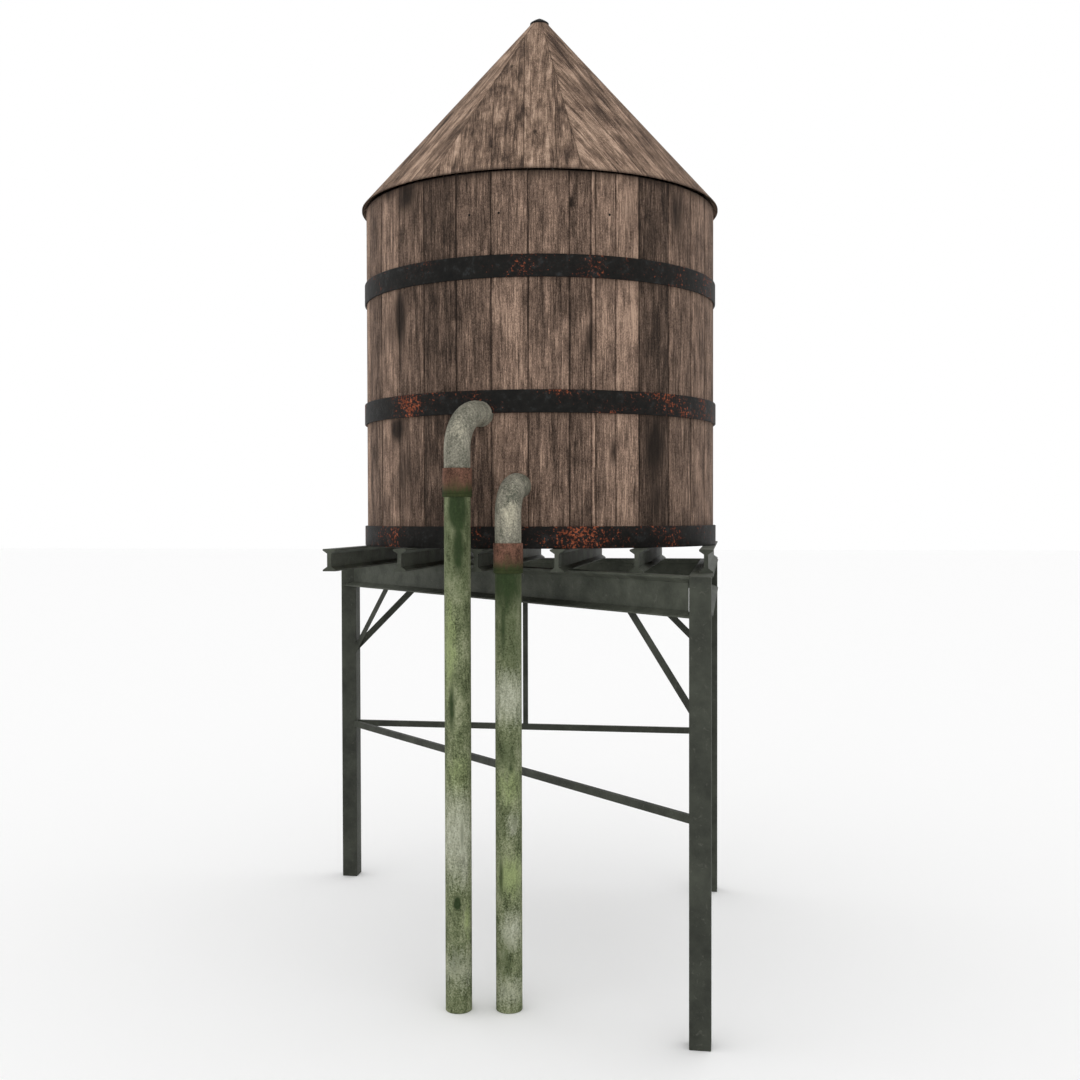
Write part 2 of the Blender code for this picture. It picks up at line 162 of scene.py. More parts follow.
# %% A material for weathered boards, matt and dry, with pale ridges and near-black splits
def weathered_boards(name, shades, stain_and_shade, fibre_mm, knots_per_metre, weather):
    """Cedar with raised grain. The mesh gives each board a map in metres, a tone, and its stains and painted
    shade.
    """
    made = bpy.data.materials.new(name)
    made.use_nodes = True
    tree = made.node_tree
    shader = tree.nodes["Principled BSDF"]
    along = add(tree, "UVMap", uv_map="boards").outputs["UV"]
    tone = add(tree, "Attribute", attribute_name="tone").outputs["Fac"]
    # The stain attribute also holds painted shade: the band under the eave and the roof's lip
    stain_and_shade_amount = add(tree, "Attribute", attribute_name="stain_and_shade").outputs["Fac"]
    # A few knots: only one Voronoi cell in four keeps its knot, and it pushes the grain aside
    knot_place = add(tree, "Mapping", {"Vector": along, "Scale": (knots_per_metre, knots_per_metre * 0.5, 1)})
    knot = add(tree, "TexVoronoi", {"Vector": knot_place.outputs["Vector"], "Scale": 1},
               voronoi_dimensions="2D")
    lot = add(tree, "SeparateColor", {"Color": knot.outputs["Color"]})
    kept = add(tree, "Math", {0: lot.outputs["Red"], 1: 0.75}, operation="GREATER_THAN")
    near = add(tree, "MapRange", {"Value": knot.outputs["Distance"], "From Min": 0, "From Max": 0.1,
                                  "To Min": 1, "To Max": 0}, interpolation_type="SMOOTHSTEP")
    core = add(tree, "Math", {0: near.outputs["Result"], 1: kept.outputs[0]}, operation="MULTIPLY")
    shift = add(tree, "CombineXYZ", {"X": core.outputs[0]})
    bent = add(tree, "VectorMath", {0: shift.outputs["Vector"], 1: (0.03, 0, 0), 2: along},
               operation="MULTIPLY_ADD").outputs["Vector"]
    # Five noises, each at its own real width: chipped fibres, fibres, streaks, patches and splits
    # (repeats a metre across and along, detail, roughness, and how far each swings the tone)
    widths = {"chips": (1000 / (fibre_mm * 0.8), 48, 6, 0.95, 0.5),
              "fibres": (1000 / fibre_mm, 3.6, 6, 0.85, 0.46),
              "streaks": (21, 1.3, 4, 0.6, 0.2 * weather),
              "patches": (5.5, 2.4, 6, 0.75, 0.25 * weather)}
    level, fields = tone, {}
    for part, (across, lengthways, detail, roughness, swing) in widths.items():
        laid = add(tree, "Mapping", {"Vector": bent, "Scale": (across, lengthways, 1)})
        fields[part] = add(tree, "TexNoise", {"Vector": laid.outputs["Vector"], "Scale": 1, "Detail": detail,
                                              "Roughness": roughness, "Distortion": 0.25}).outputs["Fac"]
        spread = add(tree, "MapRange", {"Value": fields[part], "From Min": 0.3, "From Max": 0.7,
                                        "To Min": -swing, "To Max": swing}, clamp=False)
        level = add(tree, "Math", {0: level, 1: spread.outputs["Result"]}, operation="ADD").outputs[0]
    timber = add(tree, "ValToRGB", {"Fac": level})
    timber.color_ramp.elements[0].color = colour(shades[0])
    timber.color_ramp.elements[1].color = colour(shades[-1])
    for step, shade in enumerate(shades[1:-1], 1):
        timber.color_ramp.elements.new(step / (len(shades) - 1)).color = colour(shade)
    # Splits, stains, knots and the painted shade along the eave are darker than any grain
    laid = add(tree, "Mapping", {"Vector": bent, "Scale": (52, 1.1, 1)})
    split = add(tree, "TexNoise", {"Vector": laid.outputs["Vector"], "Scale": 1, "Detail": 4, "Roughness": 0.55,
                                   "Distortion": 0.6})
    crack = add(tree, "MapRange", {"Value": split.outputs["Fac"], "From Min": 0.36, "From Max": 0.3,
                                   "To Min": 0, "To Max": 0.85})
    damp = add(tree, "Math", {0: fields["patches"], 1: fields["chips"]}, operation="ADD")
    edge = add(tree, "Math", {0: damp.outputs[0], 1: 2.2, 2: stain_and_shade_amount}, operation="MULTIPLY_ADD")
    stain_and_shade_mask = add(tree, "MapRange", {"Value": edge.outputs[0], "From Min": 2.45, "From Max": 3.5,
                                    "To Min": 0, "To Max": 0.92})
    marks = add(tree, "Math", {0: crack.outputs["Result"], 1: stain_and_shade_mask.outputs["Result"]}, operation="MAXIMUM")
    heart = add(tree, "MapRange", {"Value": core.outputs[0], "From Min": 0.45, "From Max": 0.9,
                                   "To Min": 0, "To Max": 0.8})
    marks = add(tree, "Math", {0: marks.outputs[0], 1: heart.outputs["Result"]}, operation="MAXIMUM")
    wood = add(tree, "Mix", {0: marks.outputs[0], 6: timber.outputs["Color"], 7: colour(stain_and_shade)},
               data_type="RGBA")
    tree.links.new(wood.outputs[2], shader.inputs["Base Color"])
    shader.inputs["Roughness"].default_value = 0.9
    shader.inputs["Specular IOR Level"].default_value = 0.15
    relief = add(tree, "Math", {0: level, 1: marks.outputs[0]}, operation="SUBTRACT")
    bump = add(tree, "Bump", {"Height": relief.outputs[0], "Strength": 0.7, "Distance": 0.006})
    tree.links.new(bump.outputs["Normal"], shader.inputs["Normal"])
    return made


FIBRE_MM = 12  # cedar fibres are finer, but they need this width to show in the picture
tank_cedar = weathered_boards("weathered cedar tank boards", ("271f1a", "45382f", "67554a", "8a7262", "c2a48f"),
                              "1d1713", FIBRE_MM, 1.5, 1.0)
roof_cedar = weathered_boards("weathered cedar roof boards", ("3a2e27", "5e4c40", "7f6858", "a28874", "d0b29c"),
                              "241c17", FIBRE_MM, 2.2, 1.6)
print("grain lines are", FIBRE_MM, "mm apart")

# %% [markdown]
# ## From a bmesh to a piece
# Every new piece ends in the same way: its doubles are merged, its faces turned outwards, and the solids it
# stands for are hidden. The objects stay at the origin, so a pattern on Object
# coordinates is in real metres on all of them.

# %% Finish a piece
def make_piece(bm, name, material, nodes, sharp=35):
    """Turns a bmesh into a smooth-shaded piece that rides with the tower and stands for the nodes."""
    bmesh.ops.remove_doubles(bm, verts=bm.verts, dist=0.00005)
    bmesh.ops.recalc_face_normals(bm, faces=bm.faces)
    mesh = bpy.data.meshes.new(name)
    bm.to_mesh(mesh)
    bm.free()
    mesh.shade_smooth()
    mesh.set_sharp_from_angle(angle=math.radians(sharp))
    mesh.materials.append(material)
    piece = bpy.data.objects.new(name, mesh)
    bpy.context.scene.collection.objects.link(piece)
    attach(piece, "root")
    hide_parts(*nodes)
    print(name, "has", sum(len(p.vertices) - 2 for p in mesh.polygons), "triangles")


def numbered(start):
    """The CAD nodes whose names start with these letters."""
    return sorted(name for name in frame["nodes"] if name.startswith(start))


print("the roof's solids:", numbered("roof_panel"))

# %% [markdown]
# ## Staves round the tank
# A tank wall is a ring of staves, boards about 36 cm wide whose edges are planed to the radius, so
# they close tight when the hoops are drawn up. One cylinder with lines painted on would look flat at
# the joints. Here every stave is spun separately, its edge is chamfered by an inset, and it gets
# its own tone and map, so that the light catches the joints from every side.

# %% Lay out the staves
TANK_BOTTOM, WALL_TOP = 4.1781, 7.6678
STAVE_FACE, CHAMFER, STAVE_THICK = 1.8338, 0.004, 0.045
FRONT = math.radians(-81.2111)  # the direction of the camera, seen from the tank's axis
TONES = {"dark": 0.31, "dull": 0.48, "mid": 0.55, "fair": 0.63, "light": 0.72}
# Joints that the photograph shows, in degrees round from the front, and the stave after each
SEEN_STAVES = ((-70.75, "dull"), (-59.0, "fair"), (-48.2, "dull"), (-37.0, "dark"), (-25.3, "dull"),
               (-14.3, "fair"), (-3.5, "mid"), (8.5, "dull"), (15.0, "light"), (16.3, "fair"),
               (22.6, "light"), (30.5, "dark"), (42.2, "dull"), (53.8, "mid"), (64.3, "mid"))
HIDDEN_STAVES = 20
first_seen, last_seen = SEEN_STAVES[0][0], SEEN_STAVES[-1][0]
chance = random.Random(12)
staves = list(SEEN_STAVES[:-1])
hidden_width = (360 + first_seen - last_seen) / HIDDEN_STAVES
staves += [(last_seen + i * hidden_width, chance.choice(("dark", "dull", "mid", "mid", "fair", "light")))
           for i in range(HIDDEN_STAVES)]
print(len(staves), "staves, hidden ones", round(math.radians(hidden_width) * STAVE_FACE, 3), "m wide")


# %% [markdown]
# ## Stains and tones on the boards
# Old boards are darker in set places: stains, narrow bands along the hoops, and a band under the eave that is
# painted shade. That could be left to noise, but noise never falls in the right place, so soft spots are
# written on the mesh and the material reads them. A tone is stored on every face in the same way.

# %% Paint soft spots on the mesh
def paint_spots(bm, name, spots, place_of):
    """Writes a strength on the verts. A spot is (across, up, half width, half height, strength)."""
    layer = bm.verts.layers.float.new(name)
    for vert in bm.verts:
        across, up = place_of(vert.co)
        value = 0
        for x, z, wide, tall, strength in spots:
            far = math.hypot((across - x) / wide, (up - z) / tall)
            value = max(value, strength * (1 - far * far * (3 - 2 * far) if far < 1 else 0))
        vert[layer] = value


def round_the_tank(co):
    """Degrees round from the front, and height."""
    turn = math.degrees(math.atan2(co.y - TANK_AXIS.y, co.x - TANK_AXIS.x) - FRONT)
    return (turn + 180) % 360 - 180, co.z


print("the -Y side is", round(round_the_tank(TANK_AXIS - Vector((0, 1, 0)))[0], 1), "degrees round")

# %% Join boards into one piece
JOINT_DARKER = 0.3  # dirt settles in the chamfers


def with_board_layers(bm):
    """A tone for every face and a map in metres. New layers come first: they unsettle kept faces."""
    bm.faces.layers.float.new("tone")
    bm.loops.layers.uv.new("boards")
    return bm


def join_board(whole, board, chamfers, tone, map_of):
    """Adds one finished board to the whole, with its tone, its dark chamfers and its map in metres."""
    tones, flat = board.faces.layers.float["tone"], board.loops.layers.uv["boards"]
    for face in board.faces:
        face[tones] = tone - JOINT_DARKER if face in chamfers else tone
        for loop in face.loops:
            loop[flat].uv = map_of(loop.vert.co)
    bmesh.ops.recalc_face_normals(board, faces=board.faces)
    lone = bpy.data.meshes.new("board")
    board.to_mesh(lone)
    board.free()
    whole.from_mesh(lone)
    bpy.data.meshes.remove(lone)


def spun_sheet(first, second, start, turn, steps, cuts):
    """A sheet facing outwards: a straight line spun round the tank's axis, cut finely along its length."""
    sheet = with_board_layers(bmesh.new())
    ends = [sheet.verts.new(TANK_AXIS + Vector((radius, 0, z))) for radius, z in (first, second)]
    line = sheet.edges.new(ends)
    bmesh.ops.rotate(sheet, verts=ends, cent=TANK_AXIS, matrix=Matrix.Rotation(start, 3, "Z"))
    bmesh.ops.spin(sheet, geom=ends + [line], cent=TANK_AXIS, axis=(0, 0, 1), angle=turn, steps=steps)
    long_edges = [e for e in sheet.edges if abs(e.verts[0].co.z - e.verts[1].co.z) > 1]
    bmesh.ops.subdivide_edges(sheet, edges=long_edges, cuts=cuts, use_grid_fill=True)
    first_face = next(iter(sheet.faces))
    outwards = first_face.calc_center_median() - TANK_AXIS
    if first_face.normal.dot(Vector((outwards.x, outwards.y, 0))) < 0:
        bmesh.ops.reverse_faces(sheet, faces=sheet.faces[:])
    return sheet


print("joints are", JOINT_DARKER, "darker than their boards, on a scale from 0 to 1")

# %% Build the staves
STEP_DEGREES, STAVE_CUTS = 2.9, 57
inner = STAVE_FACE - CHAMFER
shrink = 1 - STAVE_THICK / STAVE_FACE
slack = math.degrees(0.0012 / STAVE_FACE)  # half the gap between two staves
whole = with_board_layers(bmesh.new())
for index, (joint, tone) in enumerate(staves):
    following = staves[index + 1][0] if index + 1 < len(staves) else staves[0][0] + 360
    turn = following - joint - 2 * slack
    stave = spun_sheet((inner, TANK_BOTTOM), (inner, WALL_TOP), FRONT + math.radians(joint + slack),
                       math.radians(turn), max(1, round(turn / STEP_DEGREES)), STAVE_CUTS)
    chamfers = bmesh.ops.inset_region(stave, faces=stave.faces[:], thickness=2 * CHAMFER, depth=CHAMFER,
                                      use_boundary=True, use_even_offset=True)["faces"]
    back = bmesh.ops.extrude_face_region(stave, geom=stave.faces[:], use_keep_orig=True)["geom"]
    bmesh.ops.scale(stave, verts=[v for v in back if isinstance(v, bmesh.types.BMVert)],
                    vec=(shrink, shrink, 1), space=Matrix.Translation(-TANK_AXIS))

    def stave_map(co):
        round_to, up = round_the_tank(co)
        across = math.radians((round_to - joint + 180) % 360 - 180) * STAVE_FACE
        return across + 2.37 * index, up + 5.11 * index

    join_board(whole, stave, set(chamfers), TONES[tone] + chance.uniform(-0.03, 0.03), stave_map)

# %% Stain the staves and paint shade under the eave
# Each spot: degrees round from the front, height, half width, half height, strength
TANK_STAINS_AND_SHADE = [(-44.5, 7.56, 9, 0.3, 1.4), (-48, 6.42, 5.5, 0.55, 1.6), (-49.5, 5.33, 6.5, 0.22, 1.9),
               (-46, 4.9, 7, 0.5, 0.9), (46.5, 7.42, 5, 0.42, 1.4), (36.5, 5.15, 7.5, 0.6, 1.5),
               (37, 4.6, 6, 0.45, 1.0), (-53, 7.66, 10, 0.16, 1.3), (-55, 6.3, 4, 0.35, 0.8),
               (27, 7.3, 3, 0.4, 0.8), (-12, 4.9, 5, 0.5, 0.5), (38.4, 6.3, 1.5, 0.25, 1.2),
               (15, 6.1, 1.2, 0.3, 1.2), (22, 5.1, 1.2, 0.22, 1.5)]
# The boards are darker in a band under the eave, painted shade where the roof overhangs, and in narrow bands
# along the hoops, all the way round
TANK_STAINS_AND_SHADE += [(0, z, 4000, deep, strong) for z, deep, strong in
                ((7.668, 0.13, 0.8), (6.90, 0.05, 0.5), (6.68, 0.07, 0.6), (5.65, 0.05, 0.5),
                 (5.43, 0.08, 0.6), (4.39, 0.10, 0.5))]
paint_spots(whole, "stain_and_shade", TANK_STAINS_AND_SHADE, round_the_tank)
make_piece(whole, "tank_staves", tank_cedar, numbered("tank_wall"))

# %% [markdown]
# ## The roof
# Cone roofs on such tanks are cut from sheets of boards, one sheet to each of eight gores, so the
# grain runs straight down the middle of a gore and is cut off slantwise at its seams.
# A cone with one map would fan the grain out from the tip instead. Each gore is spun on its own,
# cut into boards by upright planes, and mapped flat, as the sheet was before it was bent.

# %% Build the gores
EAVE_FACE, EAVE_LOW, ROOF_PEAK = 1.8795, 7.6690, 9.8062
SLOPE = (ROOF_PEAK - 7.6785) / EAVE_FACE
ROOF_BOARD, ROOF_TOP_RADIUS, ROOF_THICK = 0.30, 0.072, 0.028
ROOF_CHAMFER, ROOF_SINK, SAW_GAP = 0.003, 0.004, 0.0003  # the sheet lies this low until its chamfer lifts it
GORE_START, GORES, GORE_TURN, SEAM_GAP, GRAIN_AT = -33, 8, 45, 0.02, 33  # degrees, but for the count
lean = 1 / math.hypot(1, SLOPE)
whole = with_board_layers(bmesh.new())
for gore in range(GORES):
    joint = GORE_START + GORE_TURN * gore
    grain_turn = FRONT + math.radians(joint + GRAIN_AT)
    grain_way = Vector((math.cos(grain_turn), math.sin(grain_turn), 0))
    side_way = Vector((-grain_way.y, grain_way.x, 0))
    gore_sheet = spun_sheet((EAVE_FACE, ROOF_PEAK - SLOPE * EAVE_FACE - ROOF_SINK),
                            (ROOF_TOP_RADIUS, ROOF_PEAK - SLOPE * ROOF_TOP_RADIUS - ROOF_SINK),
                            FRONT + math.radians(joint + SEAM_GAP),
                            math.radians(GORE_TURN - 2 * SEAM_GAP), 15, 35)
    for board in range(-5, 6):
        strip = gore_sheet.copy()
        for edge_at, outwards in ((board - 0.5, -1), (board + 0.5, 1)):
            bmesh.ops.bisect_plane(strip, geom=strip.verts[:] + strip.edges[:] + strip.faces[:], dist=0.0005,
                                   plane_co=TANK_AXIS + side_way * (ROOF_BOARD * edge_at - outwards * SAW_GAP),
                                   plane_no=side_way * outwards, clear_outer=True)
        if not strip.faces:
            strip.free()
            continue
        chamfers = bmesh.ops.inset_region(strip, faces=strip.faces[:], thickness=ROOF_CHAMFER,
                                          depth=ROOF_CHAMFER, use_boundary=True)["faces"]
        back = bmesh.ops.extrude_face_region(strip, geom=strip.faces[:], use_keep_orig=True)["geom"]
        back = [v for v in back if isinstance(v, bmesh.types.BMVert)]
        bmesh.ops.translate(strip, verts=back, vec=(0, 0, -ROOF_THICK))
        for vert in back:
            vert.co.z = max(vert.co.z, EAVE_LOW)

        def gore_map(co):
            out = co - TANK_AXIS
            flat_turn = math.atan2(out.dot(side_way), out.dot(grain_way)) * lean
            slant = math.hypot(out.x, out.y) / lean
            return (slant * math.sin(flat_turn) + 3.3 * gore + 0.71 * board,
                    slant * math.cos(flat_turn) + 7.7 * gore + 2.9 * board)

        join_board(whole, strip, set(chamfers), 0.5 + chance.uniform(-0.13, 0.13), gore_map)
    gore_sheet.free()

# %% Stain the roof: knots, weathered bands, a darker tip, and a dark lip at the eave that is partly painted shade of the overhang
ROOF_STAINS_AND_SHADE = ((-15, 8.9, 3.5, 0.08, 1.2), (-10, 8.68, 3, 0.06, 1.1), (-17, 8.6, 5, 0.08, 0.6),
               (9, 8.42, 3.5, 0.1, 1.3), (10, 8.25, 3, 0.12, 0.9), (0, 8.24, 3, 0.1, 0.7),
               (30, 8.52, 4, 0.12, 1.0), (32, 8.8, 8, 0.3, 0.9), (24, 8.45, 7, 0.35, 0.6),
               (26, 9.36, 30, 0.2, 0.6), (-45, 9.0, 12, 0.25, 0.5), (-38, 8.1, 4, 0.3, 0.7),
               # The last spot darkens the eave's lip: partly the boards' dark edge, partly painted shade of the
               # overhang
               (0, 9.7, 4000, 0.25, 0.45), (0, 7.668, 4000, 0.03, 0.9))
paint_spots(whole, "stain_and_shade", ROOF_STAINS_AND_SHADE, round_the_tank)
make_piece(whole, "roof_gores", roof_cedar, numbered("roof_panel"))

# %% [markdown]
# ## Black iron
# The hoops, the cap and the nails are iron, painted black. Where rain lies the paint blisters and
# rust comes through in small orange specks, thickest on the lowest hoop. Specks could be spread
# evenly by one noise, but real rust gathers, so a coarse noise decides where a fine one may show.

# %% Black-painted wrought iron
def blackened_iron(name, rust_at):
    """Black paint over wrought iron: a dull sheen, bluish where thin, with orange rust specks."""
    made = bpy.data.materials.new(name)
    made.use_nodes = True
    tree = made.node_tree
    shader = tree.nodes["Principled BSDF"]
    place = add(tree, "TexCoord").outputs["Object"]
    cloud = add(tree, "TexNoise", {"Vector": place, "Scale": 1.9, "Detail": 5, "Roughness": 0.62})
    speck = add(tree, "TexNoise", {"Vector": place, "Scale": 44, "Detail": 5, "Roughness": 0.7})
    worn = add(tree, "TexNoise", {"Vector": place, "Scale": 12, "Detail": 6, "Roughness": 0.7})
    gathered = add(tree, "Math", {0: cloud.outputs["Fac"], 1: 0.9, 2: speck.outputs["Fac"]},
                   operation="MULTIPLY_ADD")
    rust = add(tree, "MapRange", {"Value": gathered.outputs[0], "From Min": rust_at,
                                  "From Max": rust_at + 0.03})
    glow = add(tree, "MapRange", {"Value": gathered.outputs[0], "From Min": rust_at - 0.12,
                                  "From Max": rust_at + 0.02, "To Min": 0, "To Max": 0.45})
    paint = add(tree, "ValToRGB", {"Fac": worn.outputs["Fac"]})
    paint.color_ramp.elements[0].position, paint.color_ramp.elements[0].color = 0.35, colour("0c0c0b")
    paint.color_ramp.elements[1].position, paint.color_ramp.elements[1].color = 0.72, colour("2f3132")
    paint.color_ramp.elements.new(0.55).color = colour("171614")
    warm = add(tree, "Mix", {0: glow.outputs["Result"], 6: paint.outputs["Color"], 7: colour("3b211a")},
               data_type="RGBA")
    orange = add(tree, "MapRange", {"Value": worn.outputs["Fac"], "From Min": 0.35, "From Max": 0.65})
    orange = add(tree, "Mix", {0: orange.outputs["Result"], 6: colour("542a1e"), 7: colour("a65a3c")},
                 data_type="RGBA")
    skin = add(tree, "Mix", {0: rust.outputs["Result"], 6: warm.outputs[2], 7: orange.outputs[2]},
               data_type="RGBA")
    tree.links.new(skin.outputs[2], shader.inputs["Base Color"])
    rough = add(tree, "MapRange", {"Value": rust.outputs["Result"], "To Min": 0.6, "To Max": 0.9})
    tree.links.new(rough.outputs["Result"], shader.inputs["Roughness"])
    shader.inputs["Specular IOR Level"].default_value = 0.12
    bump = add(tree, "Bump", {"Height": speck.outputs["Fac"], "Strength": 0.6, "Distance": 0.006})
    tree.links.new(bump.outputs["Normal"], shader.inputs["Normal"])
    return made


hoop_paint = blackened_iron("black-painted wrought iron", 1.11)
low_hoop_paint = blackened_iron("black-painted wrought iron, rusting", 1.09)
cap_paint = blackened_iron("black-painted sheet iron", 1.4)
print("rust gathers where two noises add up past the value each iron is given")

# %% [markdown]
# ## Nail heads
# A row of old iron nails holds the staves below the eave. Each is a low disc with a sloping rim,
# turned to face outwards, because a painted dot would have no edge to catch the light.

# %% Drive the nails
NAIL_Z, NAIL_RADIUS = 7.28, 0.013
bm = bmesh.new()
for turn in (-12, 20.7, -21, *range(75, 290, 23)):
    head = bmesh.ops.create_cone(bm, cap_ends=True, segments=12, radius1=NAIL_RADIUS,
                                 radius2=NAIL_RADIUS * 0.6, depth=0.006)["verts"]
    facing = Matrix.Rotation(FRONT + math.radians(turn), 4, "Z") @ Matrix.Rotation(math.pi / 2, 4, "Y")
    out = facing @ Vector((0, 0, STAVE_FACE + 0.001))
    nail_place = Matrix.Translation(TANK_AXIS + out + Vector((0, 0, NAIL_Z)))
    bmesh.ops.transform(bm, verts=head, matrix=nail_place @ facing)
make_piece(bm, "stave_nails", cap_paint, [])

# %% [markdown]
# ## The three hoops
# A hoop is a flat iron bar, rolled to the tank and drawn tight. It could be a cylinder with
# thickness, but then its edges would be knife-sharp, so the bar's section is drawn, its corners
# are bevelled, and it is spun right round. The water presses hardest on the lowest.

# %% Roll the three hoops
HOOP_INNER, HOOP_BEVEL, HOOP_STEPS = 1.8345, 0.008, 144
HOOPS = {"hoop_bottom": (4.1781, 4.3841, 0.026, low_hoop_paint),
         "hoop_middle": (5.4361, 5.6491, 0.0245, hoop_paint),
         "hoop_upper": (6.6841, 6.8951, 0.020, hoop_paint)}
for name, (low, high, thick, paint) in HOOPS.items():
    bm = bmesh.new()
    bmesh.ops.create_grid(bm, x_segments=1, y_segments=1, size=0.5)
    bmesh.ops.scale(bm, verts=bm.verts, vec=(thick, high - low, 1))
    bmesh.ops.rotate(bm, verts=bm.verts, cent=(0, 0, 0), matrix=Matrix.Rotation(math.pi / 2, 3, "X"))
    bar_place = TANK_AXIS + Vector((HOOP_INNER + thick / 2, 0, (low + high) / 2))
    bmesh.ops.translate(bm, verts=bm.verts, vec=bar_place)
    bmesh.ops.bevel(bm, geom=bm.verts[:], offset=HOOP_BEVEL, segments=3, profile=0.5, affect="VERTICES",
                    material=-1)
    bmesh.ops.delete(bm, geom=bm.faces[:], context="FACES_ONLY")
    bmesh.ops.spin(bm, geom=bm.verts[:] + bm.edges[:], cent=TANK_AXIS, axis=(0, 0, 1), angle=2 * math.pi,
                   steps=HOOP_STEPS, use_merge=True)
    make_piece(bm, name + "_band", paint, [name])

# %% [markdown]
# ## The cap
# A small cap of sheet iron, spun over a former, closes the tip of the roof and sheds the rain. It
# could be a plain cone, but its sides bulge a little and its rim is rolled, so its outline is
# drawn as radii and heights and spun round the tank's axis.

# %% Spin the cap
CAP = ((0, 9.7701), (0.018, 9.7672), (0.035, 9.7581), (0.052, 9.7493), (0.068, 9.7391), (0.085, 9.7282),
       (0.096, 9.7200), (0.0995, 9.7165), (0.0985, 9.7005), (0.072, 9.7275), (0.03, 9.7290), (0, 9.7290))
bm = bmesh.new()
rim = [bm.verts.new(TANK_AXIS + Vector((radius, 0, z))) for radius, z in CAP]
outline = [bm.edges.new(pair) for pair in zip(rim, rim[1:])]
bmesh.ops.spin(bm, geom=rim + outline, cent=TANK_AXIS, axis=(0, 0, 1), angle=2 * math.pi, steps=48,
               use_merge=True)
make_piece(bm, "cap_cone", cap_paint, ["roof_cap"])

# %% [markdown]
# ## Pipes
# Two pipes rise to the tank: each has a painted riser, a cast coupling and a bend into the wall.
# The risers are turned tubes, and each bend is one circle, lifted, spun through a quarter turn and
# pushed on into the staves, which hide where it ends.

# %% Weathered pipe paint
def weathered_pipe(name, shades, lime, pale, dark):
    """Old paint on iron pipe: mottled, limed or chalked in places, mossy where water runs, and on the bends
    painted shade by the wall.
    """
    made = bpy.data.materials.new(name)
    made.use_nodes = True
    tree = made.node_tree
    shader = tree.nodes["Principled BSDF"]
    place = add(tree, "TexCoord").outputs["Object"]
    laid = add(tree, "Mapping", {"Vector": place, "Scale": (34, 34, 9)})
    runs = add(tree, "TexNoise", {"Vector": laid.outputs["Vector"], "Scale": 1, "Detail": 5, "Roughness": 0.68,
                                  "Distortion": 0.5}).outputs["Fac"]
    laid = add(tree, "Mapping", {"Vector": place, "Scale": (9, 9, 4)})
    cloud = add(tree, "TexNoise", {"Vector": laid.outputs["Vector"], "Scale": 1, "Detail": 6,
                                   "Roughness": 0.7}).outputs["Fac"]
    mottle = add(tree, "TexNoise", {"Vector": place, "Scale": 60, "Detail": 4,
                                    "Roughness": 0.75}).outputs["Fac"]
    mixed = add(tree, "Math", {0: cloud, 1: 1.2, 2: mottle}, operation="MULTIPLY_ADD")
    coat = add(tree, "MapRange", {"Value": mixed.outputs[0], "From Min": 0.85, "From Max": 1.35})
    coat = add(tree, "ValToRGB", {"Fac": coat.outputs["Result"]})
    coat.color_ramp.elements[0].color = colour(shades[0])
    coat.color_ramp.elements[1].color = colour(shades[2])
    coat.color_ramp.elements.new(0.5).color = colour(shades[1])
    skin = coat.outputs["Color"]
    # Each growth is painted on the mesh as a soft spot, and two noises break up its edge
    rags = add(tree, "Math", {0: runs, 1: 0.9, 2: mottle}, operation="MULTIPLY_ADD").outputs[0]
    for attribute, tint in (("lime", lime), ("chalk", pale), ("moss_and_shade", dark)):
        amount = add(tree, "Attribute", attribute_name=attribute).outputs["Fac"]
        ragged = add(tree, "Math", {0: rags, 1: 0.95}, operation="SUBTRACT")
        ragged = add(tree, "Math", {0: ragged.outputs[0], 1: 1.1, 2: amount}, operation="MULTIPLY_ADD")
        cover = add(tree, "MapRange", {"Value": ragged.outputs[0], "From Min": 0.25, "From Max": 1.0,
                                       "To Min": 0, "To Max": 0.95})
        skin = add(tree, "Mix", {0: cover.outputs["Result"], 6: skin, 7: colour(tint)},
                   data_type="RGBA").outputs[2]
    # A last mottle over everything, because dirt lies on moss and chalk alike
    dust = add(tree, "MapRange", {"Value": rags, "From Min": 0.7, "From Max": 1.2,
                                  "To Min": 0.68, "To Max": 1.18})
    skin = add(tree, "Mix", {0: 1.0, 6: skin, 7: dust.outputs["Result"]}, data_type="RGBA",
               blend_type="MULTIPLY").outputs[2]
    tree.links.new(skin, shader.inputs["Base Color"])
    shader.inputs["Roughness"].default_value = 0.85
    shader.inputs["Specular IOR Level"].default_value = 0.2
    bump = add(tree, "Bump", {"Height": mixed.outputs[0], "Strength": 0.4, "Distance": 0.003})
    tree.links.new(bump.outputs["Normal"], shader.inputs["Normal"])
    return made


riser_paint = weathered_pipe("mossy green pipe paint", ("3c442b", "6c7454", "909476"), "8c9868", "acae9b",
                             "26351a")
elbow_paint = weathered_pipe("bare grey galvanised pipe", ("55574b", "7b786b", "999586"), "8b8471", "b9b39e",
                             "45473a")
coupling_rust = weathered_pipe("rusted cast-iron coupling", ("3f2a20", "66483a", "80594a"), "5f4a37", "86634f",
                               "2a3618")
print("three pipe finishes: mossy paint, bare grey and rust")

# %% Measure the pipes
PIPE_RADIUS, PIPE_SIDES, COUPLING_RADIUS, COUPLING_BORE = 0.120, 64, 0.1345, 0.118
# Each pipe: its foot, the coupling's low and high ends, the height where it enters the tank, the
# radius of its bend, and the way it turns
PIPES = {"left": (Vector((0.018625, -1.750875, 0)), 4.654, 4.915, 5.430, 0.346, Vector((0.350, 0.937, 0))),
         "right": (Vector((0.471125, -1.679875, 0)), 3.966, 4.238, 4.758, 0.270, Vector((0.1428, 0.9898, 0)))}


